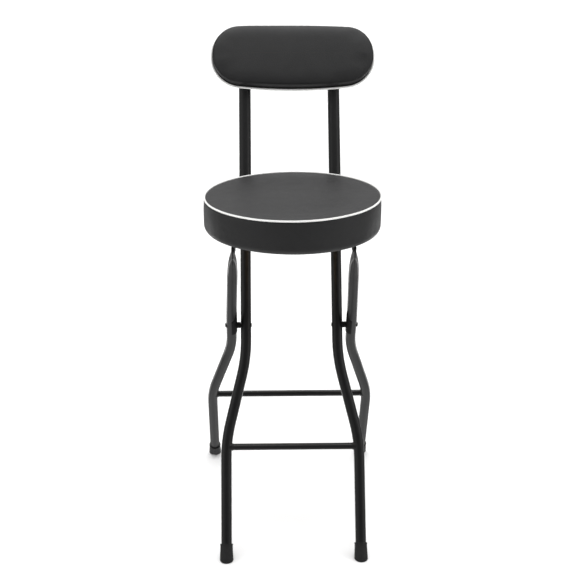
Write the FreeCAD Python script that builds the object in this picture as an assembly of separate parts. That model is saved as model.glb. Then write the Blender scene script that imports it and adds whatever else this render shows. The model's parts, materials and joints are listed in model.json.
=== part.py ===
import FreeCAD
import Part
import math
import os

os.makedirs("parts", exist_ok=True)

# Folding bar stool. Millimetres, +Z up, front towards -Y, X = 0 is the middle plane.
# The model is laid out with the middle of the seat at Y = 0 and then moved by Y_SHIFT,
# which puts the origin at the bottom centre of the whole stool.

V = FreeCAD.Vector

# ---------------------------------------------------------------- driving dimensions
Y_SHIFT = -62.12           # from the seat's centre to the middle of the stool's depth

# leg frames
PIVOT_Y, PIVOT_Z = 31.0, 365.8      # the level axis on which the two frames swing
LEAN_FRONT = 29.0          # front frame leans back, degrees from upright
LEAN_REAR = 29.9           # rear frame leans forward, degrees from upright
TUBE_R = 9.5               # front leg tube, 19 mm
TUBE_WALL = 1.2
REAR_R = 9.25              # rear leg tube, 18.5 mm
FRONT_X = 82.8             # half spacing of the front legs above the bend
FRONT_X_LOW = 118.9        # half spacing below the bend
REAR_X = 109.1             # half spacing of the rear legs at the pivot
REAR_X_LOW = 149.5
REAR_X_TOP = 103.6         # half spacing of the flattened tops
BEND_A, BEND_B = 60.0, 208.0        # where the two bends lie, below the pivot along the leg
BEND_R_FRONT = 270.0
BEND_R_REAR = 225.0
BAR_R = 6.0                # crossbars, 12 mm
FRONT_BAR_Z = 173.7
REAR_BAR_Z = 179.4
WELD_R, WELD_L = 8.2, 3.6  # fillet of weld round the bar ends
FRONT_LEG_TOP_Z = 640.0    # top end of the front leg tube, inside the post

# backrest posts
POST_R = 11.0
POST_BORE_R = 9.6
POST_LOW_Z = 575.0
POST_TOP = 551.0           # along the post, from the pivot axis
POST_SCREW_Z = 597.0

# feet
FOOT_LEN = 28.5
FOOT_TOP_R, FOOT_LOW_R = 10.9, 12.1
TUBE_END_Z = 11.0          # height of the tube's end on its axis

# pivot
RIVET_R = 3.5
RIVET_PLAY = 0.05
RIVET_HEAD_R, RIVET_HEAD_H = 4.6, 2.2
SADDLE_T = 1.25
BOSS_R = 5.5
SADDLE_HALF = 16.0         # half length of the saddle
SADDLE_TONGUE = 34.0       # its tongue reaches this far above the pivot

# flattened top of the rear leg
FLAT_T = 3.0
FLAT_HALF = 13.7
FLAT_END_R = 12.5
SEAT_PIVOT_Z = 545.6

# seat
SEAT_R = 152.8
SEAT_Z0 = 560.0            # lowest face of the seat
PIPING_R = 1.9
PIPING_MID_R = 152.6
SEAT_PIPING_Z = 619.15
SEAT_CROWN_Z = 622.4
SKIN = 1.2
SEAT_LOW_R = 8.0           # rounding of the lower edge
TUCK_R = 118.0             # inner edge of the cover where it is turned under the board
BOARD_R, BOARD_T = 143.8, 9.0

# seat fittings
BRACKET_T = 2.0
BRACKET_X0, BRACKET_X1 = 72.0, 101.5
BRACKET_FRONT, BRACKET_BACK = 9.0, 45.0
EAR_R = 6.5                # round end of the bracket's ear
REST_BAR_Z = 552.9
HOOK_HALF = 35.0
SEAT_RIVET_R = 3.0
SEAT_RIVET_HEAD_R, SEAT_RIVET_HEAD_H = 4.6, 1.0

# backrest
BACK_MID = 500.3           # middle of the backrest, along the post from the pivot axis
BACK_SIDE = 6.9            # the pad is bolted on this far to the right of the middle
BACK_A, BACK_TOP_H, BACK_LOW_H = 150.9, 56.9, 61.4
BACK_END_R = 106.0
BACK_TOP_R, BACK_TOP_CORNER = 1150.0, 50.5
BACK_LOW_R, BACK_LOW_CORNER = 900.0, 54.0
BACK_REAR = 11.2           # rear face of the pad, in front of the post's axis
BACK_PIPE = 16.0
BACK_FRONT = 41.0
BACK_BOLTS = (474.0, 526.0)


# ---------------------------------------------------------------- helpers
def cyl(r, h, p, d):
    return Part.makeCylinder(r, h, V(*p), V(*d))


def box(x0, x1, y0, y1, z0, z1):
    return Part.makeBox(x1 - x0, y1 - y0, z1 - z0, V(x0, y0, z0))


def mirror(shape):
    return shape.mirror(V(0, 0, 0), V(1, 0, 0))


def filleted_path(points, radius):
    """Wire through 2-D points (x, z) in the XZ plane with tangent arcs at the corners."""
    edges = []
    start = V(points[0][0], 0, points[0][1])
    for i in range(1, len(points) - 1):
        a = V(points[i - 1][0], 0, points[i - 1][1])
        b = V(points[i][0], 0, points[i][1])
        c = V(points[i + 1][0], 0, points[i + 1][1])
        u = (a - b).normalize()
        w = (c - b).normalize()
        turn = math.pi - u.getAngle(w)
        cut = radius * math.tan(turn / 2)
        t1 = b + u * cut
        t2 = b + w * cut
        centre = b + (u + w).normalize() * (radius / math.cos(turn / 2))
        mid = centre + (b - centre).normalize() * radius
        edges.append(Part.LineSegment(start, t1).toShape())
        edges.append(Part.Arc(t1, mid, t2).toShape())
        start = t2
    end = V(points[-1][0], 0, points[-1][1])
    edges.append(Part.LineSegment(start, end).toShape())
    return Part.Wire(edges)


def swept_rod(points, radius, r):
    path = filleted_path(points, radius)
    a = V(points[0][0], 0, points[0][1])
    b = V(points[1][0], 0, points[1][1])
    ring = Part.Wire([Part.Circle(a, (b - a).normalize(), r).toShape()])
    return path.makePipeShell([ring], True, False)


def place_front(shape):
    """From the upright frame (pivot at the origin) to the front frame's lean."""
    s = shape.copy()
    s.Placement = FreeCAD.Placement(V(0, PIVOT_Y, PIVOT_Z), FreeCAD.Rotation(V(1, 0, 0), -LEAN_FRONT)).multiply(s.Placement)
    return s


def place_rear(shape):
    s = shape.copy()
    s.Placement = FreeCAD.Placement(V(0, PIVOT_Y, PIVOT_Z), FreeCAD.Rotation(V(1, 0, 0), LEAN_REAR)).multiply(s.Placement)
    return s


CF, SF = math.cos(math.radians(LEAN_FRONT)), math.sin(math.radians(LEAN_FRONT))
CR, SR = math.cos(math.radians(LEAN_REAR)), math.sin(math.radians(LEAN_REAR))


def front_up(z):
    """Distance from the pivot along the front frame for a height z on its axis."""
    return (z - PIVOT_Z) / CF


def rear_up(z):
    return (z - PIVOT_Z) / CR


nodes = {}


def keep(name, shape):
    s = shape.copy()
    s.translate(V(0, Y_SHIFT, 0))
    nodes[name] = s


floor_cut = box(-400, 400, -400, 500, -80, 0)

# ---------------------------------------------------------------- front legs
front_bottom = front_up(TUBE_END_Z)
front_top = front_up(FRONT_LEG_TOP_Z)
path_front = [(FRONT_X, front_top), (FRONT_X, -BEND_A), (FRONT_X_LOW, -BEND_B), (FRONT_X_LOW, front_bottom)]
leg_outer = swept_rod(path_front, BEND_R_FRONT, TUBE_R)
leg_inner = swept_rod(path_front, BEND_R_FRONT, TUBE_R - TUBE_WALL)
front_leg = leg_outer.cut(leg_inner)
front_leg = front_leg.cut(cyl(RIVET_R, 60, (FRONT_X - 30, 0, 0), (1, 0, 0)))
screw_s = front_up(POST_SCREW_Z)
front_leg = front_leg.cut(cyl(2.5, 30, (FRONT_X, 0, screw_s), (0, 1, 0)))
front_leg_right = place_front(front_leg)
keep("front_leg_right", front_leg_right)
keep("front_leg_left", mirror(front_leg_right))

# crossbar and seat rest bar: plain bars whose ends meet the tubes, with a fillet of weld
def bar_between(x_axis, s, solid_tubes, r, side):
    b = cyl(r, 2 * x_axis, (-x_axis, 0, s), (1, 0, 0))
    for sx in (-1, 1):
        x_face = x_axis - side
        cone = Part.makeCone(WELD_R, r, WELD_L + 3, V(sx * (x_face + 3), 0, s), V(-sx, 0, 0))
        b = b.fuse(cone)
    for t in solid_tubes:
        b = b.cut(t)
    return b.removeSplitter()


front_solid = [leg_outer, mirror(leg_outer)]
bar_s = front_up(FRONT_BAR_Z)
front_bar = bar_between(FRONT_X_LOW, bar_s, front_solid, BAR_R, TUBE_R)
front_bar = sorted(front_bar.Solids, key=lambda q: -q.Volume)[0]
keep("front_crossbar", place_front(front_bar))

rest_s = front_up(REST_BAR_Z)
rest_bar = bar_between(FRONT_X, rest_s, front_solid, BAR_R, TUBE_R)
rest_bar = sorted(rest_bar.Solids, key=lambda q: -q.Volume)[0]
keep("seat_rest_bar", place_front(rest_bar))

# ---------------------------------------------------------------- backrest posts
post_low = front_up(POST_LOW_Z)
post = cyl(POST_R, POST_TOP - post_low, (FRONT_X, 0, post_low), (0, 0, 1))
post = post.cut(cyl(POST_BORE_R, POST_TOP - post_low + 2, (FRONT_X, 0, post_low - 1), (0, 0, 1)))
post = post.cut(cyl(2.6, 30, (FRONT_X, 0, screw_s), (0, 1, 0)))
for s in BACK_BOLTS:
    post = post.cut(cyl(3.0, 60, (FRONT_X, -30, s), (0, 1, 0)))
post_right = place_front(post)
keep("backrest_post_right", post_right)
keep("backrest_post_left", mirror(post_right))

# end plug: a domed cap with a short stem in the bore
plug = cyl(POST_R, 2.0, (FRONT_X, 0, POST_TOP), (0, 0, 1))
plug = plug.fuse(Part.makeCone(POST_R, POST_R - 2.2, 1.6, V(FRONT_X, 0, POST_TOP + 2.0), V(0, 0, 1)))
plug = plug.fuse(cyl(POST_BORE_R, 14, (FRONT_X, 0, POST_TOP - 14), (0, 0, 1)))
plug = plug.cut(cyl(POST_BORE_R - 2.2, 13, (FRONT_X, 0, POST_TOP - 14.5), (0, 0, 1))).removeSplitter()
plug = place_front(plug)
keep("post_end_plugs", Part.makeCompound([plug, mirror(plug)]))

# pan-head screw from behind, through post and leg wall
screw = cyl(2.5, 12.0, (FRONT_X, POST_R - 12.0 + 0.4, screw_s), (0, 1, 0))
screw = screw.fuse(Part.makeCone(4.8, 3.2, 2.6, V(FRONT_X, POST_R + 0.0, screw_s), V(0, 1, 0))).removeSplitter()
screw = place_front(screw)
keep("post_screws", Part.makeCompound([screw, mirror(screw)]))

# ---------------------------------------------------------------- rear legs
sp_up = rear_up(SEAT_PIVOT_Z)
SEAT_PIVOT_Y = PIVOT_Y - sp_up * SR
flat_start = sp_up - 9.3
round_end = 138.4


def lens(half_x, half_y, x_mid, z, power, crease=0.0):
    """Closed smooth section, half_x wide and half_y deep, at height z, creased at its two edges."""
    pts = []
    angles = [18 * i for i in range(20)] + [80, 100, 260, 280]
    for deg in sorted(angles):
        a = math.radians(deg)
        c, s = math.cos(a), math.sin(a)
        k = (abs(c) ** power + abs(s) ** power) ** (-1.0 / power)
        y = half_y * k * s
        if deg in (90, 270):
            y -= math.copysign(crease, s)
        pts.append(V(x_mid + half_x * k * c, y, z))
    curve = Part.BSplineCurve()
    curve.interpolate(pts, PeriodicFlag=True)
    return Part.Wire([curve.toShape()])


def arm_x(s):
    """The arm leans in by a few millimetres on its way up."""
    t = (s - 14.0) / (flat_start - 14.0)
    return REAR_X + (REAR_X_TOP - REAR_X) * max(0.0, min(1.0, t))


step = 0.04                # the pressed part starts a hair inside the round tube
sections = [                # height, half width, half depth, squareness, crease
    (round_end, REAR_R - step, REAR_R - step, 2.0, 0.0),
    (155.0, 8.7, 9.7, 2.0, 0.0),
    (168.0, 7.9, 10.3, 2.1, 0.4),
    (178.8, 6.7, 11.1, 2.2, 1.1),
    (187.2, 5.0, 12.1, 2.4, 1.4),
    (194.0, 2.9, 13.1, 2.9, 0.9),
    (flat_start, FLAT_T / 2 - step, FLAT_HALF - 2 * step, 4.0, 0.0),
]
press = Part.makeLoft([lens(a, b, arm_x(s), s, p, c) for s, a, b, p, c in sections], True, False)
hollow = Part.makeLoft([lens(max(a - TUBE_WALL, 0.35), b - TUBE_WALL, arm_x(s), s, p, c) for s, a, b, p, c in sections[:-1]], True, False)
rear_bottom = rear_up(TUBE_END_Z)
path_rear = [(arm_x(round_end), round_end), (REAR_X, 14.0), (REAR_X, -58.0), (REAR_X_LOW, -209.0), (REAR_X_LOW, rear_bottom)]
rear_outer = swept_rod(path_rear, BEND_R_REAR, REAR_R)
rear_inner = swept_rod(path_rear, BEND_R_REAR, REAR_R - TUBE_WALL)
px = REAR_X_TOP - FLAT_T / 2
corners = [V(px, -FLAT_END_R, sp_up), V(px, -FLAT_HALF, flat_start), V(px, FLAT_HALF, flat_start), V(px, FLAT_END_R, sp_up)]
plate = Part.Wire([Part.LineSegment(corners[i], corners[i + 1]).toShape() for i in range(3)]
                  + [Part.Arc(corners[3], V(px, 0, sp_up + FLAT_END_R), corners[0]).toShape()])
plate = Part.Face(plate).extrude(V(FLAT_T, 0, 0))
rear_leg = rear_outer.fuse(press).fuse(plate)
rear_leg = rear_leg.cut(rear_inner).cut(hollow)
rear_leg = rear_leg.cut(cyl(RIVET_R + RIVET_PLAY, 60, (REAR_X - 30, 0, 0), (1, 0, 0)))
rear_leg = rear_leg.cut(cyl(SEAT_RIVET_R + RIVET_PLAY, 20, (REAR_X_TOP - 10, 0, sp_up), (1, 0, 0)))
rear_leg_right = place_rear(rear_leg)
keep("rear_leg_right", rear_leg_right)
keep("rear_leg_left", mirror(rear_leg_right))

rear_bar = bar_between(REAR_X_LOW, rear_up(REAR_BAR_Z), [rear_outer, mirror(rear_outer)], BAR_R, REAR_R)
rear_bar = sorted(rear_bar.Solids, key=lambda q: -q.Volume)[0]
keep("rear_crossbar", place_rear(rear_bar))

# ---------------------------------------------------------------- feet
def foot(x, r_tube, up):
    """Tapered rubber ferrule round the tube's end; 'up' is the floor's distance below the pivot."""
    top = -up + FOOT_LEN
    f = Part.makeCone(FOOT_LOW_R, FOOT_TOP_R, FOOT_LEN, V(x, 0, -up), V(0, 0, 1))
    f = f.fuse(cyl(FOOT_LOW_R, 14, (x, 0, -up - 14), (0, 0, 1)))
    f = f.fuse(cyl(FOOT_TOP_R + 0.45, 2.6, (x, 0, top - 2.6), (0, 0, 1)))
    return f, top


def finish_foot(f, place, x, r_tube, end):
    f = place(f).cut(floor_cut)
    f = f.removeSplitter()
    low = [e for e in f.Edges if abs(e.BoundBox.ZMax) < 1e-3 and abs(e.BoundBox.ZMin) < 1e-3]
    f = f.makeFillet(1.6, low)
    core = place(cyl(r_tube, 60, (x, 0, end), (0, 0, 1)))
    return f.cut(core)


up_f = PIVOT_Z / CF
f, _ = foot(FRONT_X_LOW, TUBE_R, up_f)
ff = finish_foot(f, place_front, FRONT_X_LOW, TUBE_R, front_bottom)
keep("front_foot_right", ff)
keep("front_foot_left", mirror(ff))
up_r = PIVOT_Z / CR
f, _ = foot(REAR_X_LOW, REAR_R, up_r)
rf = finish_foot(f, place_rear, REAR_X_LOW, REAR_R, rear_bottom)
keep("rear_foot_right", rf)
keep("rear_foot_left", mirror(rf))

# ---------------------------------------------------------------- pivot
x_in, x_out = FRONT_X - TUBE_R, REAR_X + REAR_R + 0.15
rivet = cyl(RIVET_R, x_out - x_in, (x_in, 0, 0), (1, 0, 0))
rivet = rivet.fuse(cyl(RIVET_HEAD_R, 0.9, (x_out, 0, 0), (1, 0, 0)))
rivet = rivet.fuse(Part.makeCone(RIVET_HEAD_R, 2.4, RIVET_HEAD_H - 0.9, V(x_out + 0.9, 0, 0), V(1, 0, 0)))
rivet = rivet.fuse(Part.makeCone(4.2, 2.6, 1.1, V(x_in, 0, 0), V(-1, 0, 0)))
rivet = rivet.removeSplitter()
keep("pivot_rivets", Part.makeCompound([place_front(rivet), mirror(place_front(rivet))]))

# plastic saddle on the inner side of the rear leg, with a boss that spaces the two tubes
shell = cyl(REAR_R + SADDLE_T, SADDLE_TONGUE + SADDLE_HALF, (REAR_X, 0, -SADDLE_HALF), (0, 0, 1))
wide = REAR_R + SADDLE_T + 1
outline = Part.makePolygon([V(0, -wide, -SADDLE_HALF), V(0, wide, -SADDLE_HALF), V(0, wide, SADDLE_HALF - 2),
                            V(0, 4.5, SADDLE_TONGUE), V(0, -4.5, SADDLE_TONGUE), V(0, -wide, SADDLE_HALF - 2),
                            V(0, -wide, -SADDLE_HALF)])
outline = Part.Face(outline).extrude(V(REAR_X - 0.6, 0, 0))
saddle = shell.common(outline)
boss = cyl(BOSS_R, REAR_X - REAR_R / 2 - (FRONT_X + TUBE_R + 0.25), (FRONT_X + TUBE_R + 0.25, 0, 0), (1, 0, 0))
saddle = saddle.fuse(boss).cut(rear_outer)
saddle = saddle.cut(cyl(RIVET_R + RIVET_PLAY, 60, (REAR_X - 30, 0, 0), (1, 0, 0))).removeSplitter()
saddle = sorted(saddle.Solids, key=lambda q: -q.Volume)[0]
saddle = place_rear(saddle)
keep("pivot_spacer_right", saddle)
keep("pivot_spacer_left", mirror(saddle))

# ---------------------------------------------------------------- seat
def revolve(profile):
    face = Part.Face(Part.Wire(profile))
    return face.revolve(V(0, 0, 0), V(0, 0, 1), 360)


def line(p, q):
    return Part.LineSegment(V(p[0], 0, p[1]), V(q[0], 0, q[1])).toShape()


def arc(p, m, q):
    return Part.Arc(V(p[0], 0, p[1]), V(m[0], 0, m[1]), V(q[0], 0, q[1])).toShape()


def crown(edge, zc):
    """Shallow crown from the edge point in to the axis: coned rings round a flat middle."""
    h = zc - edge[1]
    pts = [edge] + [(edge[0] * k, zc - h * k * k) for k in (0.85, 0.65, 0.42)] + [(edge[0] * 0.2, zc), (0, zc)]
    return [line(pts[i], pts[i + 1]) for i in range(len(pts) - 1)]


def seat_outer_profile():
    """Half section of the covered seat, with the seat for the piping let into its top edge."""
    r, k, zb = SEAT_R, SEAT_LOW_R, SEAT_Z0
    c = (PIPING_MID_R, SEAT_PIPING_Z)
    on = lambda deg: (c[0] + PIPING_R * math.cos(math.radians(deg)), c[1] + PIPING_R * math.sin(math.radians(deg)))
    dx = r - c[0]
    a0 = (r, c[1] - math.sqrt(PIPING_R ** 2 - dx ** 2))
    a1 = on(160.0)
    zc = SEAT_CROWN_Z
    return [line((0, zb), (r - k, zb)),
            arc((r - k, zb), (r - k + k * math.sin(math.pi / 4), zb + k - k * math.cos(math.pi / 4)), (r, zb + k)),
            line((r, zb + k), a0),
            arc(a0, on(215.0), a1)] + crown(a1, zc) + [line((0, zc), (0, zb))]


def seat_inner_profile():
    r, k, zb = SEAT_R - SKIN, SEAT_LOW_R - SKIN, SEAT_Z0 + SKIN
    top = (PIPING_MID_R - PIPING_R - SKIN, SEAT_PIPING_Z - 0.2)
    side = (r, SEAT_PIPING_Z - 4.3)
    zc = SEAT_CROWN_Z - SKIN
    return [line((0, zb), (r - k, zb)),
            arc((r - k, zb), (r - k + k * math.sin(math.pi / 4), zb + k - k * math.cos(math.pi / 4)), (r, zb + k)),
            line((r, zb + k), side),
            line(side, top)] + crown(top, zc) + [line((0, zc), (0, zb))]


board_z0 = SEAT_Z0 + SKIN
outer = revolve(seat_outer_profile())
inner = revolve(seat_inner_profile())
piping = Part.makeTorus(PIPING_MID_R, PIPING_R, V(0, 0, SEAT_PIPING_Z), V(0, 0, 1))
cover = outer.cut(inner).cut(cyl(TUCK_R, 5, (0, 0, SEAT_Z0 - 1), (0, 0, 1)))
board = cyl(BOARD_R, BOARD_T, (0, 0, board_z0), (0, 0, 1))
foam = inner.cut(board)

# brackets: a plate under the board and an ear that carries the flattened top of the rear leg
by0, by1 = SEAT_PIVOT_Y - BRACKET_FRONT, SEAT_PIVOT_Y + BRACKET_BACK
bz1 = board_z0
bz0 = bz1 - BRACKET_T
bracket = box(BRACKET_X0, BRACKET_X1, by0, by1, bz0, bz1)
ear_x0 = BRACKET_X1 - BRACKET_T
ear = Part.Face(Part.makePolygon([V(ear_x0, by0, bz1), V(ear_x0, by1, bz1), V(ear_x0, by1, bz0 - 3),
                                  V(ear_x0, SEAT_PIVOT_Y + EAR_R * 0.9, SEAT_PIVOT_Z - EAR_R * 0.43), V(ear_x0, SEAT_PIVOT_Y - EAR_R, SEAT_PIVOT_Z),
                                  V(ear_x0, by0, bz0 - 3), V(ear_x0, by0, bz1)])).extrude(V(BRACKET_T, 0, 0))
ear = ear.fuse(cyl(EAR_R, BRACKET_T, (ear_x0, SEAT_PIVOT_Y, SEAT_PIVOT_Z), (1, 0, 0)))
bracket = bracket.fuse(ear)
bracket = bracket.cut(cyl(SEAT_RIVET_R, 20, (ear_x0 - 5, SEAT_PIVOT_Y, SEAT_PIVOT_Z), (1, 0, 0)))
screw_spots = [(BRACKET_X0 + 8, SEAT_PIVOT_Y + 4), (BRACKET_X0 + 8, SEAT_PIVOT_Y + 34), (BRACKET_X0 + 20, SEAT_PIVOT_Y + 19)]
hook_spots = [(22.0, 112.0), (-22.0, 112.0), (0.0, 106.0)]


def wood_screw(x, y, z_face):
    """Pan-head screw driven up from a plate whose lower face is at z_face."""
    s = cyl(2.0, 10.0, (x, y, z_face), (0, 0, 1))
    s = s.fuse(Part.makeCone(2.4, 4.0, 2.2, V(x, y, z_face - 2.2), V(0, 0, 1)))
    return s.removeSplitter()


screws = []
for x, y in screw_spots:
    bracket = bracket.cut(cyl(2.0, 10, (x, y, bz0 - 1), (0, 0, 1)))
    s = wood_screw(x, y, bz0)
    screws += [s, mirror(s)]
bracket = bracket.removeSplitter()

# rear hook: its plate rests on the seat rest bar and its lip drops behind the bar
rest_y = PIVOT_Y + rest_s * SF
lip_y = rest_y + BAR_R + 0.4
hook = box(-HOOK_HALF, HOOK_HALF, 96.0, lip_y + BRACKET_T, bz0, bz1)
hook = hook.fuse(box(-HOOK_HALF, HOOK_HALF, lip_y, lip_y + BRACKET_T, REST_BAR_Z - 7.5, bz1))
hook_screws = []
for x, y in hook_spots:
    hook = hook.cut(cyl(2.0, 10, (x, y, bz0 - 1), (0, 0, 1)))
    hook_screws.append(wood_screw(x, y, bz0))
hook = hook.removeSplitter()

for x, y in screw_spots:
    for sx in (-1, 1):
        board = board.cut(cyl(2.0, 10.0 - BRACKET_T, (sx * x, y, bz1 - 0.01), (0, 0, 1)))
for x, y in hook_spots:
    board = board.cut(cyl(2.0, 10.0 - BRACKET_T, (x, y, bz1 - 0.01), (0, 0, 1)))
relief = box(-HOOK_HALF - 0.3, HOOK_HALF + 0.3, 95.7, lip_y + BRACKET_T + 0.3, SEAT_Z0 - 1, bz1)
cover = cover.cut(relief)
for sx in (0, 1):
    r = box(BRACKET_X0 - 0.3, BRACKET_X1 + 0.3, by0 - 0.3, by1 + 0.3, SEAT_Z0 - 1, bz1)
    cover = cover.cut(mirror(r) if sx else r)
foam = foam.cut(box(-HOOK_HALF - 0.3, HOOK_HALF + 0.3, 95.7, lip_y + BRACKET_T + 0.3, SEAT_Z0 - 1, bz1))
cover = sorted(cover.Solids, key=lambda q: -q.Volume)[0]
foam = sorted(foam.Solids, key=lambda q: -q.Volume)[0]

keep("seat_board", board)
keep("seat_foam", foam)
keep("seat_cover", cover)
keep("seat_piping", piping)
keep("seat_bracket_right", bracket)
keep("seat_bracket_left", mirror(bracket))
keep("seat_rear_hook", hook)
keep("seat_bracket_screws", Part.makeCompound(screws))
keep("seat_hook_screws", Part.makeCompound(hook_screws))

# staples that hold the turned-in cover to the board, spaced round it and clear of the plates
staples = []
for i in range(28):
    a = 2 * math.pi * (i + 0.5) / 28
    rr = 126.0 + (1.6 if i % 3 == 0 else -0.8)
    x, y = rr * math.cos(a), rr * math.sin(a)
    if y > 88 and abs(x) < 46:
        continue
    if by0 - 10 < y < by1 + 10 and 62 < abs(x) < 110:
        continue
    st = box(-5.5, 5.5, -0.6, 0.6, -0.7, 0)
    st.Placement = FreeCAD.Placement(V(x, y, SEAT_Z0), FreeCAD.Rotation(V(0, 0, 1), math.degrees(a) + 90 + (7 if i % 2 else -5)))
    staples.append(st)
keep("seat_staples", Part.makeCompound(staples))

# pivot rivets of the seat: thin heads on both sides, a washer between leg and ear
flat_out = REAR_X_TOP + FLAT_T / 2
flat_in = REAR_X_TOP - FLAT_T / 2
head_out = flat_out + 0.15
seat_rivet = cyl(SEAT_RIVET_R, head_out - ear_x0, (ear_x0, SEAT_PIVOT_Y, SEAT_PIVOT_Z), (1, 0, 0))
for x_face, way in ((head_out, 1), (ear_x0, -1)):
    head = Part.makeCone(SEAT_RIVET_HEAD_R, SEAT_RIVET_HEAD_R - 2.2, SEAT_RIVET_HEAD_H, V(x_face, SEAT_PIVOT_Y, SEAT_PIVOT_Z), V(way, 0, 0))
    seat_rivet = seat_rivet.fuse(head)
seat_rivet = seat_rivet.removeSplitter()
keep("seat_pivot_rivets", Part.makeCompound([seat_rivet, mirror(seat_rivet)]))
washer = cyl(5.5, flat_in - 0.1 - BRACKET_X1, (BRACKET_X1, SEAT_PIVOT_Y, SEAT_PIVOT_Z), (1, 0, 0))
washer = washer.cut(cyl(SEAT_RIVET_R, 20, (BRACKET_X1 - 5, SEAT_PIVOT_Y, SEAT_PIVOT_Z), (1, 0, 0)))
keep("seat_pivot_washers", Part.makeCompound([washer, mirror(washer)]))


# ---------------------------------------------------------------- backrest
def quarter(b, r1, r2, r3, grow):
    """Centres and radii of the three arcs of a quarter outline (x >= 0, z >= 0)."""
    a = BACK_A
    c1 = (0.0, b - r1)
    c3 = (a - r3, 0.0)
    p, q = r1 - r2, r3 - r2
    dx, dz = c3[0] - c1[0], c3[1] - c1[1]
    d = math.hypot(dx, dz)
    k = (p * p - q * q + d * d) / (2 * d)
    h = math.sqrt(p * p - k * k)
    ex, ez = dx / d, dz / d
    cands = [(c1[0] + ex * k - ez * h * s, c1[1] + ez * k + ex * h * s) for s in (1, -1)]
    c2 = max(cands, key=lambda c: c[0])
    t1 = math.atan2(c2[1] - c1[1], c2[0] - c1[0])
    t3 = math.atan2(c2[1] - c3[1], c2[0] - c3[0])
    return [(c3, r3 + grow, 0.0, t3), (c2, r2 + grow, t3, t1), (c1, r1 + grow, t1, math.pi / 2)]


def back_outline(y, grow):
    """Closed outline of the backrest at distance y in front of the post's axis, larger by 'grow'."""
    edges = []
    for upper in (1, -1):
        b, r1, r2 = (BACK_TOP_H, BACK_TOP_R, BACK_TOP_CORNER) if upper > 0 else (BACK_LOW_H, BACK_LOW_R, BACK_LOW_CORNER)
        q = quarter(b, r1, r2, BACK_END_R, grow)
        for sx in (1, -1):
            for c, r, a0, a1 in q:
                pt = lambda t: V(BACK_SIDE + sx * (c[0] + r * math.cos(t)), -y, BACK_MID + upper * (c[1] + r * math.sin(t)))
                edges.append(Part.Arc(pt(a0), pt((a0 + a1) / 2), pt(a1)).toShape())
    return Part.Wire(Part.__sortEdges__(edges))


def back_solid(levels):
    return Part.makeLoft([back_outline(y, g) for y, g in levels], True, True)


back_outer = back_solid([(BACK_REAR, -1.4), (BACK_PIPE - 1.5, 0.0), (BACK_PIPE + 1.5, 0.0), (31.0, -1.0), (37.0, -5.0), (BACK_FRONT, -14.0)])
back_inner = back_solid([(BACK_REAR + SKIN, -2.6), (BACK_PIPE - 1.5, -1.2), (BACK_PIPE + 1.5, -1.2), (31.0, -2.2), (36.3, -6.2), (BACK_FRONT - SKIN, -15.2)])
pipe_path = back_outline(BACK_PIPE, 1.4)
e0 = pipe_path.Edges[0]
p0 = e0.valueAt(e0.FirstParameter)
t0 = e0.tangentAt(e0.FirstParameter)
ring = Part.Wire([Part.Circle(p0, t0, PIPING_R).toShape()])
back_piping = pipe_path.makePipeShell([ring], True, False)
back_cover = back_outer.cut(back_inner).cut(back_piping)
board_y0 = BACK_REAR + SKIN
back_board = Part.Face(back_outline(board_y0, -8.0)).extrude(V(0, -9.0, 0))
if back_board.Volume < 0:
    back_board.reverse()
back_foam = back_inner.cut(back_board).cut(back_piping)
bolts, tnuts = [], []
for s in BACK_BOLTS:
    for sx in (-1, 1):
        x = sx * FRONT_X
        b = cyl(3.0, POST_R + board_y0 + 8.0, (x, POST_R, s), (0, -1, 0))
        b = b.fuse(Part.makeCone(6.2, 3.6, 3.0, V(x, POST_R + 0.0, s), V(0, 1, 0))).removeSplitter()
        bolts.append(b)
        t = cyl(4.2, 8.0, (x, -(board_y0 + 1.0), s), (0, -1, 0)).fuse(cyl(9.5, 1.4, (x, -(board_y0 + 9.0), s), (0, -1, 0)))
        t = t.cut(cyl(3.0, 30, (x, 0, s), (0, -1, 0))).removeSplitter()
        tnuts.append(t)
        back_cover = back_cover.cut(cyl(3.0, 8, (x, -(BACK_REAR - 3), s), (0, -1, 0)))
        back_board = back_board.cut(cyl(4.2, 12, (x, -(board_y0 + 1.0), s), (0, -1, 0))).cut(cyl(3.0, 12, (x, -(board_y0 - 1.0), s), (0, -1, 0)))
        back_foam = back_foam.cut(cyl(9.5, 1.4, (x, -(board_y0 + 9.0), s), (0, -1, 0))).cut(cyl(3.0, 6.0, (x, -(board_y0 + 6.0), s), (0, -1, 0)))
back_cover = sorted(back_cover.Solids, key=lambda q: -q.Volume)[0]
back_foam = sorted(back_foam.Solids, key=lambda q: -q.Volume)[0]
keep("backrest_board", place_front(back_board))
keep("backrest_foam", place_front(back_foam))
keep("backrest_cover", place_front(back_cover))
keep("backrest_piping", place_front(back_piping))
keep("backrest_bolts", Part.makeCompound([place_front(b) for b in bolts]))
keep("backrest_tnuts", Part.makeCompound([place_front(t) for t in tnuts]))

# ---------------------------------------------------------------- output
for old in os.listdir("parts"):
    if old.endswith(".step"):
        os.remove(os.path.join("parts", old))
low = [1e9] * 3
high = [-1e9] * 3
for name, shape in nodes.items():
    b = shape.optimalBoundingBox(True, False)
    low = [min(low[0], b.XMin), min(low[1], b.YMin), min(low[2], b.ZMin)]
    high = [max(high[0], b.XMax), max(high[1], b.YMax), max(high[2], b.ZMax)]
    shape.exportStep("parts/%s.step" % name)
    print("%-24s solids %2d valid %s volume %9.1f" % (name, len(shape.Solids), shape.isValid(), shape.Volume))
print("nodes", len(nodes))
print("box", [round(v, 2) for v in low], [round(v, 2) for v in high])
print("seat pivot y,z", round(SEAT_PIVOT_Y + Y_SHIFT, 3), SEAT_PIVOT_Z, "leg pivot y,z", PIVOT_Y + Y_SHIFT, PIVOT_Z)
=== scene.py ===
import bpy
import bmesh
import json
import math
import numpy as np
from mathutils import Matrix, Vector
from mathutils.kdtree import KDTree


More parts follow.
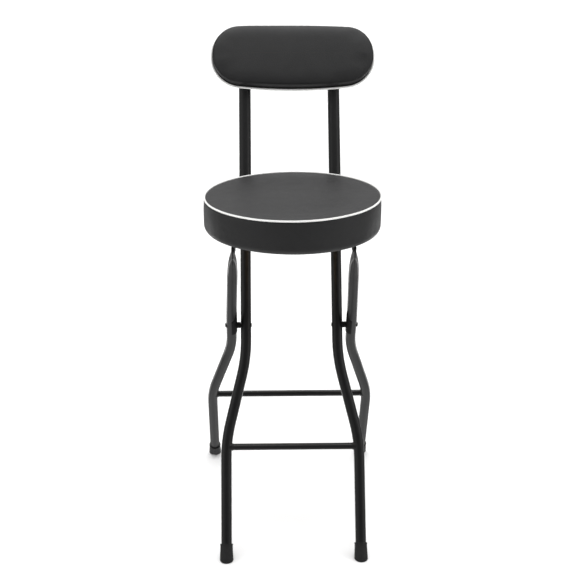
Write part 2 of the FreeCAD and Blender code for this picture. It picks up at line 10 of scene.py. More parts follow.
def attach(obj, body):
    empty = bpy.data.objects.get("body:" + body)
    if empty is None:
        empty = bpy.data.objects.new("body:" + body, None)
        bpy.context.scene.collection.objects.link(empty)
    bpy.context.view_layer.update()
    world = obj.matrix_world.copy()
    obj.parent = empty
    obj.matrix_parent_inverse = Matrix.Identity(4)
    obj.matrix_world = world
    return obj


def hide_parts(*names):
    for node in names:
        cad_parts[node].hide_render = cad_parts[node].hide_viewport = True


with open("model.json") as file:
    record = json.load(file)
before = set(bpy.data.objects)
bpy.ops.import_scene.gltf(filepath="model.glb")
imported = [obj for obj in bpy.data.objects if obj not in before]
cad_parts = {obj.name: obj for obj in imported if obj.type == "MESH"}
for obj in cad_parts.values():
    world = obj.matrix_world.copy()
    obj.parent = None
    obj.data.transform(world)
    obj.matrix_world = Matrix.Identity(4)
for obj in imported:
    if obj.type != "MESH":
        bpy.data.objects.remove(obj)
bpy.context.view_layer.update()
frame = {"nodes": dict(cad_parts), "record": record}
nodes = frame["nodes"]

# ------------------------------------------------------------------ camera
YAW, PITCH, ROLL = 0.0284, 0.353, -0.004
cam_data = bpy.data.cameras.new("camera")
cam = bpy.data.objects.new("camera", cam_data)
bpy.context.scene.collection.objects.link(cam)
cam_data.sensor_fit = "HORIZONTAL"
cam_data.sensor_width = 36.0
cam_data.lens = 80.97
cam_data.clip_end = 200.0
cy_, sy_, cp_, sp_ = math.cos(YAW), math.sin(YAW), math.cos(PITCH), math.sin(PITCH)
right0 = Vector((cy_, -sy_, 0.0))
up0 = Vector((sy_ * sp_, cy_ * sp_, cp_))
fwd = Vector((sy_ * cp_, cy_ * cp_, -sp_))
right = right0 * math.cos(ROLL) - up0 * math.sin(ROLL)
up = right0 * math.sin(ROLL) + up0 * math.cos(ROLL)
cam.matrix_world = Matrix((
    (right.x, up.x, -fwd.x, -0.0688),
    (right.y, up.y, -fwd.y, -2.2161),
    (right.z, up.z, -fwd.z, 1.2422),
    (0, 0, 0, 1)))
bpy.context.scene.camera = cam

# ------------------------------------------------------------------ the stool's main sizes, millimetres
Y_SHIFT = -62.12
PIVOT = (31.0 + Y_SHIFT, 365.8)
LEAN = math.radians(29.0)
SEAT_Y = Y_SHIFT
SEAT_R = 152.8
SEAT_Z0 = 560.0
PIPE_R = 1.9
SEAT_PIPE_R, SEAT_PIPE_Z = 152.6, 619.15
SEAT_CROWN_Z = 622.4
SEAT_TILT = 2.0            # the sewn line stands this much higher at the right than at the middle
BOARD_Z0, BOARD_Z1, BOARD_R = 561.2, 570.2, 143.8
BACK_MID = 500.3
BACK_A, BACK_END_R = 150.9, 106.0
BACK_TOP = (57.4, 2000.0, 51.5)
BACK_LOW = (63.0, 900.0, 56.0)
BACK_SHY = 1.6             # the pad's front stays this far inside the welt
BACK_PIPE_E = 16.0
BACK_SIDE = 6.9             # the pad is bolted on this far to the right of the middle
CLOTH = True      # the pads are pressed out by a short cloth run


def front_to_world(x, y, z):
    """From the upright front frame (pivot at the origin) to the row frame, in metres."""
    c, s = math.cos(LEAN), math.sin(LEAN)
    wy = y * c + z * s + PIVOT[0]
    wz = -y * s + z * c + PIVOT[1]
    return np.stack([np.asarray(x, float) + 0 * wy, wy, wz], -1) / 1000.0


def new_object(name, verts, faces, smooth=True):
    me = bpy.data.meshes.new(name)
    me.from_pydata([tuple(v) for v in verts], [], [tuple(f) for f in faces])
    me.validate()
    me.update()
    ob = bpy.data.objects.new(name, me)
    bpy.context.scene.collection.objects.link(ob)
    bm = bmesh.new()
    bm.from_mesh(me)
    bmesh.ops.remove_doubles(bm, verts=bm.verts, dist=1e-6)
    bmesh.ops.dissolve_degenerate(bm, edges=bm.edges, dist=1e-7)
    bmesh.ops.recalc_face_normals(bm, faces=bm.faces)
    bm.to_mesh(me)
    bm.free()
    for p in me.polygons:
        p.use_smooth = smooth
    return ob


def ring_surface(rings, closed_ends=(False, False)):
    """Quads between rings of equal count, each ring closed; closed_ends is not used, and the ends stay open."""
    n = len(rings[0])
    verts = [tuple(v) for r in rings for v in r]
    faces = []
    for k in range(len(rings) - 1):
        for i in range(n):
            j = (i + 1) % n
            faces.append((k * n + i, k * n + j, (k + 1) * n + j, (k + 1) * n + i))
    return verts, faces


def smooth_noise(n, waves, seed, power=1.0):
    """Seeded periodic noise of n samples built from a band of waves, about -1..1."""
    r = np.random.RandomState(seed)
    t = np.arange(n) / n * 2 * math.pi
    out = np.zeros(n)
    for w in waves:
        out += r.normal() * np.cos(w * t + r.uniform(0, 2 * math.pi)) / (w ** (power - 1.0))
    return out / (np.abs(out).max() + 1e-9)


# ------------------------------------------------------------------ materials
def material(name):
    m = bpy.data.materials.new(name)
    m.use_nodes = True
    nt = m.node_tree
    nt.nodes.clear()
    out = nt.nodes.new("ShaderNodeOutputMaterial")
    sh = nt.nodes.new("ShaderNodeBsdfPrincipled")
    nt.links.new(sh.outputs["BSDF"], out.inputs["Surface"])
    return m, nt, sh


def coords(nt, scale=(1, 1, 1)):
    tc = nt.nodes.new("ShaderNodeTexCoord")
    mp = nt.nodes.new("ShaderNodeMapping")
    mp.inputs["Scale"].default_value = scale
    nt.links.new(tc.outputs["Object"], mp.inputs["Vector"])
    return mp.outputs["Vector"]


def noise(nt, vec, scale, detail=2.0, rough=0.5, distortion=0.0):
    n = nt.nodes.new("ShaderNodeTexNoise")
    n.inputs["Scale"].default_value = scale
    n.inputs["Detail"].default_value = detail
    n.inputs["Roughness"].default_value = rough
    n.inputs["Distortion"].default_value = distortion
    nt.links.new(vec, n.inputs["Vector"])
    return n.outputs["Fac"]


def voronoi(nt, vec, scale, feature="F1", smooth=None):
    n = nt.nodes.new("ShaderNodeTexVoronoi")
    n.feature = feature
    n.inputs["Scale"].default_value = scale
    if smooth is not None and "Smoothness" in n.inputs:
        n.inputs["Smoothness"].default_value = smooth
    nt.links.new(vec, n.inputs["Vector"])
    return n.outputs["Distance"]


def ramp(nt, fac, stops):
    r = nt.nodes.new("ShaderNodeValToRGB")
    e = r.color_ramp.elements
    while len(e) < len(stops):
        e.new(0.5)
    for i, (p, c) in enumerate(stops):
        e[i].position = p
        e[i].color = (c, c, c, 1.0) if not hasattr(c, "__len__") else (*c, 1.0)
    nt.links.new(fac, r.inputs["Fac"])
    return r.outputs["Color"]


def math_node(nt, op, a, b):
    n = nt.nodes.new("ShaderNodeMath")
    n.operation = op
    for i, v in enumerate((a, b)):
        if isinstance(v, (int, float)):
            n.inputs[i].default_value = v
        else:
            nt.links.new(v, n.inputs[i])
    return n.outputs[0]


def bump(nt, sh, height, distance, strength=1.0, after=None):
    b = nt.nodes.new("ShaderNodeBump")
    b.inputs["Distance"].default_value = distance
    b.inputs["Strength"].default_value = strength
    nt.links.new(height, b.inputs["Height"])
    if after is not None:
        nt.links.new(after, b.inputs["Normal"])
    nt.links.new(b.outputs["Normal"], sh.inputs["Normal"])
    return b.outputs["Normal"]


def mat_paint(name, base, rough, peel=0.00004, ior=1.5):
    m, nt, sh = material(name)
    v = coords(nt)
    big = noise(nt, v, 9.0, 3.0)
    nt.links.new(ramp(nt, big, [(0.3, tuple(c * 0.82 for c in base)), (0.7, tuple(c * 1.2 for c in base))]), sh.inputs["Base Color"])
    fine = noise(nt, v, 140.0, 4.0, 0.6)
    nt.links.new(ramp(nt, fine, [(0.25, rough - 0.06), (0.75, rough + 0.08)]), sh.inputs["Roughness"])
    sh.inputs["IOR"].default_value = ior
    peel_h = noise(nt, v, 620.0, 2.0, 0.45)
    n1 = bump(nt, sh, peel_h, peel, 0.8)
    specks = voronoi(nt, v, 260.0)
    h2 = ramp(nt, specks, [(0.0, 1.0), (0.09, 0.0)])
    bump(nt, sh, h2, 0.00004, 0.5, n1)
    return m


def mat_vinyl(name, base, rough, front=None):
    """Upholstery vinyl: fine pebble grain with painted shade in its valleys, faint larger creases. With front, a pad's
    direction, its edges are duller.
    """
    m, nt, sh = material(name)
    v = coords(nt)
    warp = noise(nt, v, 38.0, 3.0, 0.55)
    big = noise(nt, v, 7.0, 3.0)
    both = math_node(nt, "ADD", math_node(nt, "MULTIPLY", big, 0.7), math_node(nt, "MULTIPLY", warp, 0.3))
    grain_and_valley_shade = voronoi(nt, v, 820.0, "SMOOTH_F1", 0.35)
    tone = ramp(nt, both, [(0.3, tuple(c * 0.86 for c in base)), (0.72, tuple(c * 1.14 for c in base))])
    # the colour is multiplied darker between the grain pebbles, where the bump is low: painted shade in the grain
    # valleys
    mix = nt.nodes.new("ShaderNodeMix")
    mix.data_type = "RGBA"
    mix.blend_type = "MULTIPLY"
    mix.inputs["Factor"].default_value = 0.55
    nt.links.new(tone, mix.inputs["A"])
    nt.links.new(ramp(nt, grain_and_valley_shade, [(0.0, 1.0), (0.75, 0.62)]), mix.inputs["B"])
    nt.links.new(mix.outputs["Result"], sh.inputs["Base Color"])
    nt.links.new(ramp(nt, warp, [(0.2, rough - 0.05), (0.8, rough + 0.07)]), sh.inputs["Roughness"])
    sh.inputs["IOR"].default_value = 1.48
    inv = ramp(nt, grain_and_valley_shade, [(0.0, 1.0), (0.8, 0.0)])
    n1 = bump(nt, sh, inv, 0.00016, 0.75)
    crease = noise(nt, v, 55.0, 5.0, 0.62, 0.6)
    n2 = bump(nt, sh, crease, 0.0005, 0.22, n1)
    if front is not None:
        geo = nt.nodes.new("ShaderNodeNewGeometry")
        dot = nt.nodes.new("ShaderNodeVectorMath")
        dot.operation = "DOT_PRODUCT"
        dot.inputs[1].default_value = front
        nt.links.new(geo.outputs["Normal"], dot.inputs[0])
        nt.links.new(ramp(nt, dot.outputs["Value"], [(0.62, 0.12), (0.98, 0.5)]), sh.inputs["Specular IOR Level"])
    return m


def mat_piping(name, base):
    m, nt, sh = material(name)
    v = coords(nt)
    big = noise(nt, v, 26.0, 4.0, 0.6)
    nt.links.new(ramp(nt, big, [(0.25, tuple(c * 0.93 for c in base)), (0.75, base)]), sh.inputs["Base Color"])
    nt.links.new(ramp(nt, noise(nt, v, 240.0, 3.0), [(0.3, 0.32), (0.7, 0.45)]), sh.inputs["Roughness"])
    sh.inputs["Subsurface Weight"].default_value = 0.08
    sh.inputs["Subsurface Radius"].default_value = (0.002, 0.002, 0.002)
    cells = voronoi(nt, v, 1300.0, "SMOOTH_F1", 0.4)
    bump(nt, sh, ramp(nt, cells, [(0.0, 1.0), (0.8, 0.0)]), 0.00006, 0.6)
    return m


def mat_rubber(name, base, rough=0.52):
    m, nt, sh = material(name)
    v = coords(nt)
    big = noise(nt, v, 45.0, 4.0, 0.6)
    nt.links.new(ramp(nt, big, [(0.25, tuple(c * 0.75 for c in base)), (0.8, tuple(c * 1.35 for c in base))]), sh.inputs["Base Color"])
    nt.links.new(ramp(nt, noise(nt, v, 300.0, 3.0), [(0.3, rough - 0.08), (0.7, rough + 0.12)]), sh.inputs["Roughness"])
    n1 = bump(nt, sh, noise(nt, v, 1500.0, 3.0, 0.7), 0.00008, 0.5)
    scuffs = noise(nt, coords(nt, (1, 1, 6)), 120.0, 2.0, 0.5, 1.5)
    bump(nt, sh, ramp(nt, scuffs, [(0.62, 0.0), (0.68, 1.0)]), 0.00005, 0.4, n1)
    return m


def mat_plastic(name, base, rough, ior=1.5):
    m, nt, sh = material(name)
    v = coords(nt)
    nt.links.new(ramp(nt, noise(nt, v, 60.0, 3.0), [(0.3, tuple(c * 0.85 for c in base)), (0.7, tuple(c * 1.2 for c in base))]), sh.inputs["Base Color"])
    nt.links.new(ramp(nt, noise(nt, v, 500.0, 2.0), [(0.3, rough - 0.05), (0.7, rough + 0.07)]), sh.inputs["Roughness"])
    sh.inputs["IOR"].default_value = ior
    bump(nt, sh, noise(nt, v, 1800.0, 2.0, 0.6), 0.00004, 0.6)
    return m


def mat_zinc(name):
    m, nt, sh = material(name)
    v = coords(nt, (1, 1, 1))
    nt.links.new(ramp(nt, noise(nt, v, 180.0, 4.0, 0.65), [(0.25, (0.46, 0.46, 0.45)), (0.75, (0.72, 0.72, 0.7))]), sh.inputs["Base Color"])
    sh.inputs["Metallic"].default_value = 1.0
    nt.links.new(ramp(nt, noise(nt, v, 700.0, 3.0), [(0.3, 0.24), (0.7, 0.42)]), sh.inputs["Roughness"])
    bump(nt, sh, noise(nt, v, 2200.0, 2.0), 0.00003, 0.6)
    return m


def mat_plywood(name):
    """Raw plywood: long grain on the faces, thin plies on the edge."""
    m, nt, sh = material(name)
    v = coords(nt, (1.0, 14.0, 1.0))
    fig = noise(nt, v, 7.0, 6.0, 0.65, 1.2)
    pores = noise(nt, coords(nt, (6.0, 160.0, 6.0)), 14.0, 3.0, 0.7)
    face = ramp(nt, fig, [(0.25, (0.36, 0.235, 0.125)), (0.5, (0.5, 0.35, 0.2)), (0.78, (0.6, 0.45, 0.28))])
    mix = nt.nodes.new("ShaderNodeMix")
    mix.data_type = "RGBA"
    mix.blend_type = "MULTIPLY"
    mix.inputs["Factor"].default_value = 0.45
    nt.links.new(face, mix.inputs["A"])
    nt.links.new(ramp(nt, pores, [(0.35, 0.45), (0.6, 1.0)]), mix.inputs["B"])
    # plies show where the surface turns sideways
    geo = nt.nodes.new("ShaderNodeNewGeometry")
    sep = nt.nodes.new("ShaderNodeSeparateXYZ")
    nt.links.new(geo.outputs["True Normal"], sep.inputs[0])
    side = math_node(nt, "LESS_THAN", math_node(nt, "ABSOLUTE", sep.outputs["Z"], 0.0), 0.5)
    wave = nt.nodes.new("ShaderNodeTexWave")
    wave.bands_direction = "Z"
    wave.inputs["Scale"].default_value = 120.0
    wave.inputs["Distortion"].default_value = 0.6
    nt.links.new(coords(nt), wave.inputs["Vector"])
    plies = ramp(nt, wave.outputs["Fac"], [(0.35, (0.25, 0.15, 0.08)), (0.55, (0.58, 0.43, 0.27))])
    mix2 = nt.nodes.new("ShaderNodeMix")
    mix2.data_type = "RGBA"
    nt.links.new(side, mix2.inputs["Factor"])
    nt.links.new(mix.outputs["Result"], mix2.inputs["A"])
    nt.links.new(plies, mix2.inputs["B"])
    nt.links.new(mix2.outputs["Result"], sh.inputs["Base Color"])
    sh.inputs["Roughness"].default_value = 0.72
    bump(nt, sh, pores, 0.00025, 0.5)
    return m


def mat_foam(name):
    m, nt, sh = material(name)
    v = coords(nt)
    cells = voronoi(nt, v, 900.0)
    # the colour is darker in the cell pits, where the bump is low: painted shade in the foam's pores
    nt.links.new(ramp(nt, cells, [(0.0, (0.5, 0.46, 0.34)), (0.6, (0.82, 0.78, 0.63))]), sh.inputs["Base Color"])
    sh.inputs["Roughness"].default_value = 0.95
    bump(nt, sh, cells, 0.0006, 0.8)
    return m


paint = mat_paint("black_powder_coat", (0.0045, 0.0045, 0.0048), 0.33, 0.00004, 1.45)
bracket_paint = mat_paint("black_bracket_paint", (0.017, 0.017, 0.018), 0.38)
screw_black = mat_paint("black_screw_coat", (0.02, 0.02, 0.021), 0.34, 0.00002)
rubber = mat_rubber("moulded_rubber", (0.0045, 0.0045, 0.0047), 0.58)
nylon = mat_plastic("black_nylon", (0.004, 0.004, 0.0042), 0.62, 1.28)
plug_plastic = mat_plastic("black_plug_plastic", (0.014, 0.014, 0.0145), 0.34)
zinc = mat_zinc("zinc_plated_steel")
plywood = mat_plywood("raw_plywood")
foam_mat = mat_foam("cream_foam")
vinyl = mat_vinyl("black_vinyl", (0.0138, 0.0138, 0.0143), 0.46)
vinyl_back = mat_vinyl("black_vinyl_back", (0.0168, 0.0168, 0.0174), 0.46, (0.0, -math.cos(LEAN), math.sin(LEAN)))
vinyl_under = mat_vinyl("black_vinyl_underside", (0.03, 0.03, 0.031), 0.6)
piping_mat = mat_piping("white_piping_vinyl", (0.86, 0.86, 0.845))
staple_mat = zinc

slot_mats = {
    "frame_paint": paint, "bracket_paint": bracket_paint, "foot_rubber": rubber, "plug_plastic": plug_plastic,
    "spacer_plastic": nylon, "black_screw": screw_black, "zinc_screw": zinc, "vinyl": vinyl, "piping": piping_mat,
    "plywood": plywood, "foam": foam_mat,
}
for part in frame["record"]["subparts"]:
    ob = nodes[part["node"]]
    m = slot_mats[part["material_slot"]]
    if not ob.material_slots:
        ob.data.materials.append(m)
    for s in ob.material_slots:
        s.material = m


# ------------------------------------------------------------------ seat pad
SEAM_R = SEAT_PIPE_R - PIPE_R - 0.6
SIDE_R = SEAT_R + 0.1
SIDE_HIGH, SIDE_LOW = SEAT_PIPE_Z - 6.4, SEAT_Z0 + 10.2


def seat_profile():
    """(r, z, kind) from the middle of the top, over the edge and under, to the cut edge of the vinyl."""
    pts = []
    zc, zs = SEAT_CROWN_Z + (0.0 if CLOTH else 0.9), SEAT_PIPE_Z + 0.75
    for u in np.linspace(0.0, 1.0, 46):
        r = SEAM_R * u
        z = zc - (zc - zs - 0.8) * u ** 4 - 0.8 * np.exp(-((1 - u) * SEAM_R / 3.0) ** 2) - 0.5 * u ** 2
        pts.append((r, z))
    # down into the seam on the inner side of the piping, behind it, and out again below it
    for dr, dz in ((-2.0, 0.1), (-1.75, -0.7), (-1.4, -1.4), (-0.85, -1.9), (-0.4, -2.35), (0.0, -3.1), (0.2, -4.4)):
        pts.append((SEAT_PIPE_R + dr, SEAT_PIPE_Z + dz))
    for z in np.linspace(SIDE_HIGH, SIDE_LOW, 18):
        k = (z - SIDE_LOW) / (SIDE_HIGH - SIDE_LOW)
        pts.append((SIDE_R + 0.5 * math.sin(math.pi * k), z))
    R = SIDE_LOW - SEAT_Z0 - 1.2
    for a in np.linspace(0.08, 1.0, 14):
        t = a * math.pi / 2
        pts.append((SIDE_R - R + R * math.cos(t), SEAT_Z0 + (R + 1.0) * (1 - math.sin(t))))
    for r in np.linspace(SIDE_R - R - 1.8, 118.5, 14):
        pts.append((r, SEAT_Z0))
    return pts


N_SEAT = 384
prof = seat_profile()
theta = np.arange(N_SEAT) / N_SEAT * 2 * math.pi
pr = np.array([p[0] for p in prof])
pz = np.array([p[1] for p in prof])
i_top = 46
i_side0, i_side1 = i_top + 4, i_top + 7 + 18
pucker_fine = smooth_noise(N_SEAT, range(46, 74), 3)
pucker_soft = smooth_noise(N_SEAT, range(9, 24), 4)
pleat = smooth_noise(N_SEAT, range(52, 80), 5)
pleat_env = 0.6 + 0.4 * smooth_noise(N_SEAT, range(5, 14), 6)
slow = smooth_noise(N_SEAT, range(2, 7), 8)
rings = []
for k in range(len(prof)):
    r = np.full(N_SEAT, pr[k])
    z = np.full(N_SEAT, pz[k])
    if k < i_top:
        d = SEAM_R - pr[k]
        near = np.exp(-(d / 7.0) ** 2)
        z = z + near * (0.22 * pucker_fine + 0.10 * pucker_soft) * (1 if d > 0.6 else 0.3)
        # soft unevenness of foam under the top panel
        z = z + (1 - np.exp(-(d / 18.0) ** 2)) * (0.30 * np.sin(1.0 * theta + 0.8) * (pr[k] / 150) + 0.22 * np.sin(2 * theta + 2.1) * (pr[k] / 150) ** 2 + 0.15 * np.sin(3 * theta + 0.3) * (pr[k] / 150) ** 3)
    elif k >= i_side0:
        h = pz[k]
        if h > SIDE_LOW - 1.0:
            top_near = np.exp(-((SIDE_HIGH + 4.5 - h) / 6.0) ** 2)
            low_near = np.exp(-((h - SIDE_LOW + 4.0) / 15.0) ** 2)
            r = r + top_near * 0.14 * pucker_fine + low_near * (0.16 * pleat + 0.22 * pucker_soft) + 0.18 * slow
        else:
            w = np.clip((SIDE_LOW - 1.0 - h) / 9.0, 0, 1)
            r = r + (1 - w) * (0.16 * pleat + 0.22 * pucker_soft + 0.18 * slow)
    if k >= i_side1 + 6:
        w = np.clip((SIDE_R - 4.9 - pr[k]) / 8.0, 0, 1)
        z = z + w * (0.35 * np.clip(pleat, -0.3, 1.0) * pleat_env - 0.25)
    if pr[k] < 119.5 and k > i_side1:
        r = r + 1.6 * smooth_noise(N_SEAT, range(6, 40), 11)
    if k >= i_side0 and pr[k] > SIDE_R - 12.0:
        r = r + 0.5 * (1 - np.cos(theta))          # a little fuller at the left
    r = np.minimum(r, SEAT_R + 1.6)
    z = z + SEAT_TILT * np.cos(theta) * (pr[k] / SEAT_PIPE_R) * np.clip((pz[k] - SIDE_LOW) / (SEAT_PIPE_Z - SIDE_LOW), 0, 1)
    rings.append(np.stack([r * np.cos(theta), r * np.sin(theta) + SEAT_Y, z], -1) / 1000.0)
# the inside: up to the board, along its underside and edge, and in over its top face
edge_r = np.linalg.norm(rings[-1][:, :2] - np.array([0, SEAT_Y / 1000.0]), axis=1) * 1000.0


def flat_ring(r, z):
    r = np.broadcast_to(np.asarray(r, float), (N_SEAT,))
    return np.stack([r * np.cos(theta), r * np.sin(theta) + SEAT_Y, np.full(N_SEAT, z)], -1) / 1000.0


inside = [flat_ring(edge_r, BOARD_Z0 - 0.02), flat_ring(BOARD_R + 0.05, BOARD_Z0 - 0.02), flat_ring(BOARD_R + 0.05, BOARD_Z1 + 0.05),
          flat_ring(100.0, BOARD_Z1 + 0.05), flat_ring(0.0, BOARD_Z1 + 0.05)]
v, f = ring_surface(rings + inside)
seat_pad = new_object("seat_pad", v, f)
seat_pad.data.materials.append(vinyl)
seat_pad.data.materials.append(vinyl_under)
seat_pad.data.materials.append(foam_mat)


# ------------------------------------------------------------------ backrest pad
def quarter(b, r1, r2, r3):
    a = BACK_A
    c1, c3 = (0.0, b - r1), (a - r3, 0.0)
    p, q = r1 - r2, r3 - r2
    dx, dz = c3[0] - c1[0], c3[1] - c1[1]
    d = math.hypot(dx, dz)
    k = (p * p - q * q + d * d) / (2 * d)
    h = math.sqrt(max(p * p - k * k, 0.0))
    ex, ez = dx / d, dz / d
    c2 = max([(c1[0] + ex * k - ez * h * s, c1[1] + ez * k + ex * h * s) for s in (1, -1)], key=lambda c: c[0])
    t1 = math.atan2(c2[1] - c1[1], c2[0] - c1[0])
    t3 = math.atan2(c2[1] - c3[1], c2[0] - c3[0])
    return [(c3, r3, 0.0, t3), (c2, r2, t3, t1), (c1, r1, t1, math.pi / 2)]


def half_outline(b, r1, r2, sign, n):
    """Points and outward normals from +x end to -x end over the top (sign 1) or the bottom (-1)."""
    q = quarter(b, r1, r2, BACK_END_R)
    dense, norms = [], []
    for c, r, a0, a1 in q:
        for t in np.linspace(a0, a1, 120, endpoint=False):
            dense.append((c[0] + r * math.cos(t), sign * (c[1] + r * math.sin(t))))
            norms.append((math.cos(t), sign * math.sin(t)))
    dense.append((0.0, sign * b))
    norms.append((0.0, float(sign)))
    dense, norms = np.array(dense), np.array(norms)
    dense = np.vstack([dense, (dense * [-1, 1])[-2::-1]])
    norms = np.vstack([norms, (norms * [-1, 1])[-2::-1]])
    s = np.concatenate([[0], np.cumsum(np.linalg.norm(np.diff(dense, axis=0), axis=1))])
    w = np.linspace(0, s[-1], n + 1)
    pts = np.stack([np.interp(w, s, dense[:, i]) for i in (0, 1)], -1)
    nrm = np.stack([np.interp(w, s, norms[:, i]) for i in (0, 1)], -1)
    return pts, nrm / np.linalg.norm(nrm, axis=1, keepdims=True)


HALF = 150
top_p, top_n = half_outline(*BACK_TOP, 1, HALF)
low_p, low_n = half_outline(*BACK_LOW, -1, HALF)
out_p = np.vstack([top_p[:-1], low_p[::-1][:-1]])       # right end, over the top, left end, back under
out_n = np.vstack([top_n[:-1], low_n[::-1][:-1]])
NB = len(out_p)


def fuller_corner(p):
    """The upper left corner stands up a little more than the upper right one."""
    lift = 1.5 * np.exp(-((p[:, 0] + 95.0) / 45.0) ** 2) * np.clip(p[:, 1] / 50.0, 0, 1)
    return p + np.stack([0 * lift, lift], -1)


out_p = fuller_corner(out_p)
SPINE = 92.0
mirror_i = (NB - np.arange(NB)) % NB                       # the point across the spine
spine_x = np.clip((out_p[:, 0] + out_p[mirror_i, 0]) / 2, -SPINE, SPINE)
spine = np.stack([spine_x, np.zeros(NB)], -1)
reach = np.linalg.norm(out_p - spine, axis=1)


def back_ring(inset, e, wob=0.0, dz=0.0):
    """Ring at 'inset' mm inside the outline (negative is outside), e in front of the post's axis."""
    inset = np.broadcast_to(np.asarray(inset, float), (NB,))
    near = out_p - out_n * inset[:, None]
    far = spine + (out_p - spine) * (1 - inset / reach)[:, None]
    k = np.clip(inset / 26.0, 0, 1)[:, None]
    k = k * k * (3 - 2 * k)
    p = near * (1 - k) + far * k
    e = np.broadcast_to(np.asarray(e, float) + wob, (NB,))
    return front_to_world(p[:, 0] + BACK_SIDE, -e, BACK_MID + p[:, 1])


puck_b = smooth_noise(NB, range(44, 70), 21)
puck_s = smooth_noise(NB, range(6, 18), 22)
puck_r = smooth_noise(NB, range(30, 60), 23)
rings = []
# front: one full crown from the spine out to the edge, steep only near the seam
CROWN_E, CROWN_H = 21.5, 17.0 if CLOTH else 17.8
shy = BACK_SHY + 1.3 * np.clip(-out_n[:, 1], 0, 1) ** 2      # more of the welt shows along the bottom
angle = np.linspace(math.pi / 2, 0.0, 2000)
curve = np.stack([1 - np.cos(angle) ** 0.22, np.sin(angle) ** 0.22], -1)      # inset share, height share
length = np.concatenate([[0], np.cumsum(np.linalg.norm(np.diff(curve * [58.0, CROWN_H], axis=0), axis=1))])
for u in np.linspace(0.0, 1.0, 46):
    share, high = (np.interp(u * length[-1], length, curve[:, i]) for i in (0, 1))
    edge = (1 - share) ** 3
    rings.append(back_ring(shy + (reach - shy) * share - 0.12 * puck_b * edge, CROWN_E + CROWN_H * high + 1.6 * (1 - (1 - share) ** 2) + 0.25 * puck_s * share ** 0.5 * (1 - share) ** 2))
for t in np.linspace(0.25, 1.0, 5):
    rings.append(back_ring(shy + 0.6 * t ** 2 - 0.14 * puck_b * t, 22.5 - 4.2 * t))
rings.append(back_ring(2.6, 17.4))
rings.append(back_ring(2.9, BACK_PIPE_E))
rings.append(back_ring(2.4, 14.7))
for t in np.linspace(0.0, 1.0, 7):
    a = t * math.pi / 2
    rings.append(back_ring(1.3 + 3.2 * (1 - math.cos(a)) + 0.1 * puck_r, 14.0 - 2.2 * math.sin(a)))
for u in np.linspace(0.0, 1.0, 14)[1:]:
    ins = 4.5 * (1 - u) + reach * u
    rings.append(back_ring(ins, 11.8 - 0.35 * min(1.0, u * 4) + 0.14 * puck_r * max(0.0, 1 - u * 5)))
v, f = ring_surface(rings)
back_pad = new_object("backrest_pad", v, f)
back_pad.data.materials.append(vinyl_back)


# ------------------------------------------------------------------ cloth run on both pads
def press_out(pad, voxel, held, cap, bending=0.6, spread=1.0, near_count=6):
    """Cloth under inner pressure on a coarse copy of the pad; its movement is carried over to the pad.

    held(points) tells which points are sewn or stapled down, cap(points) how far a point may move."""
    scene = bpy.context.scene
    proxy = bpy.data.objects.new(pad.name + "_run", pad.data.copy())
    scene.collection.objects.link(proxy)
    remesh = proxy.modifiers.new("remesh", "REMESH")
    remesh.mode = "VOXEL"
    remesh.voxel_size = voxel
    coarse = bpy.data.meshes.new_from_object(proxy.evaluated_get(bpy.context.evaluated_depsgraph_get()))
    proxy.modifiers.clear()
    first = proxy.data
    proxy.data = coarse
    bpy.data.meshes.remove(first)
    rest = np.empty(len(coarse.vertices) * 3)
    coarse.vertices.foreach_get("co", rest)
    rest = rest.reshape(-1, 3)
    group = proxy.vertex_groups.new(name="held")
    group.add([int(i) for i in np.where(held(rest))[0]], 1.0, "REPLACE")
    cloth = proxy.modifiers.new("cloth", "CLOTH")
    st = cloth.settings
    st.quality = 6
    st.mass = 0.015
    st.tension_stiffness = st.compression_stiffness = 12.0
    st.shear_stiffness = 6.0
    st.bending_stiffness = bending
    st.use_pressure = True
    st.uniform_pressure_force = 4.0
    st.effector_weights.gravity = 0.0
    st.vertex_group_mass = "held"
    cloth.collision_settings.use_collision = False
    cloth.collision_settings.use_self_collision = False
    cloth.point_cache.frame_start = 1
    cloth.point_cache.frame_end = 20
    for frame_no in range(1, 21):
        scene.frame_set(frame_no)
    done = bpy.data.meshes.new_from_object(proxy.evaluated_get(bpy.context.evaluated_depsgraph_get()))
    last = np.empty(len(done.vertices) * 3)
    done.vertices.foreach_get("co", last)
    move = last.reshape(-1, 3) - rest
    far = np.linalg.norm(move, axis=1)
    limit = np.maximum(cap(rest), 1e-6)
    move *= (limit * np.tanh(far / limit) / np.maximum(far, 1e-9))[:, None]
    print("cloth run", pad.name, len(rest), "points, moved", round(float(far.max()) * 1000, 2), "mm, kept",
          round(float(np.linalg.norm(move, axis=1).max()) * 1000, 2), "mm")
    scene.frame_set(1)
    bpy.data.objects.remove(proxy)
    bpy.data.meshes.remove(coarse)
    bpy.data.meshes.remove(done)
    tree = KDTree(len(rest))
    for i, co in enumerate(rest):
        tree.insert(co, i)
    tree.balance()
    for vert in pad.data.vertices:
        near = tree.find_n(vert.co, near_count)
        w = np.array([math.exp(-(d / (voxel * spread)) ** 2) for _, _, d in near]) + 1e-12
        vert.co += Vector((w[:, None] * move[[i for _, i, _ in near]]).sum(0) / w.sum())
    pad.data.update()


def seat_held(p):
    r = np.hypot(p[:, 0], p[:, 1] - SEAT_Y / 1000.0) * 1000.0
    z = p[:, 2] * 1000.0
    seam = (r > SEAM_R - 3.0) & (np.abs(z - SEAT_PIPE_Z - SEAT_TILT * p[:, 0] * 1000.0 / SEAT_PIPE_R) < 5.0)
    return seam | (z < SEAT_Z0 + 6.0) | ((r < BOARD_R + 3.0) & (z < BOARD_Z1 + 4.0))


def seat_cap(p):
    r = np.hypot(p[:, 0], p[:, 1] - SEAT_Y / 1000.0) * 1000.0
    return np.where(r > SEAM_R - 1.0, 0.0006, 0.0016)


def back_held(p):
    y, z = p[:, 1] * 1000.0 - PIVOT[0], p[:, 2] * 1000.0 - PIVOT[1]
    return -(y * math.cos(LEAN) - z * math.sin(LEAN)) < BACK_PIPE_E + 5.0


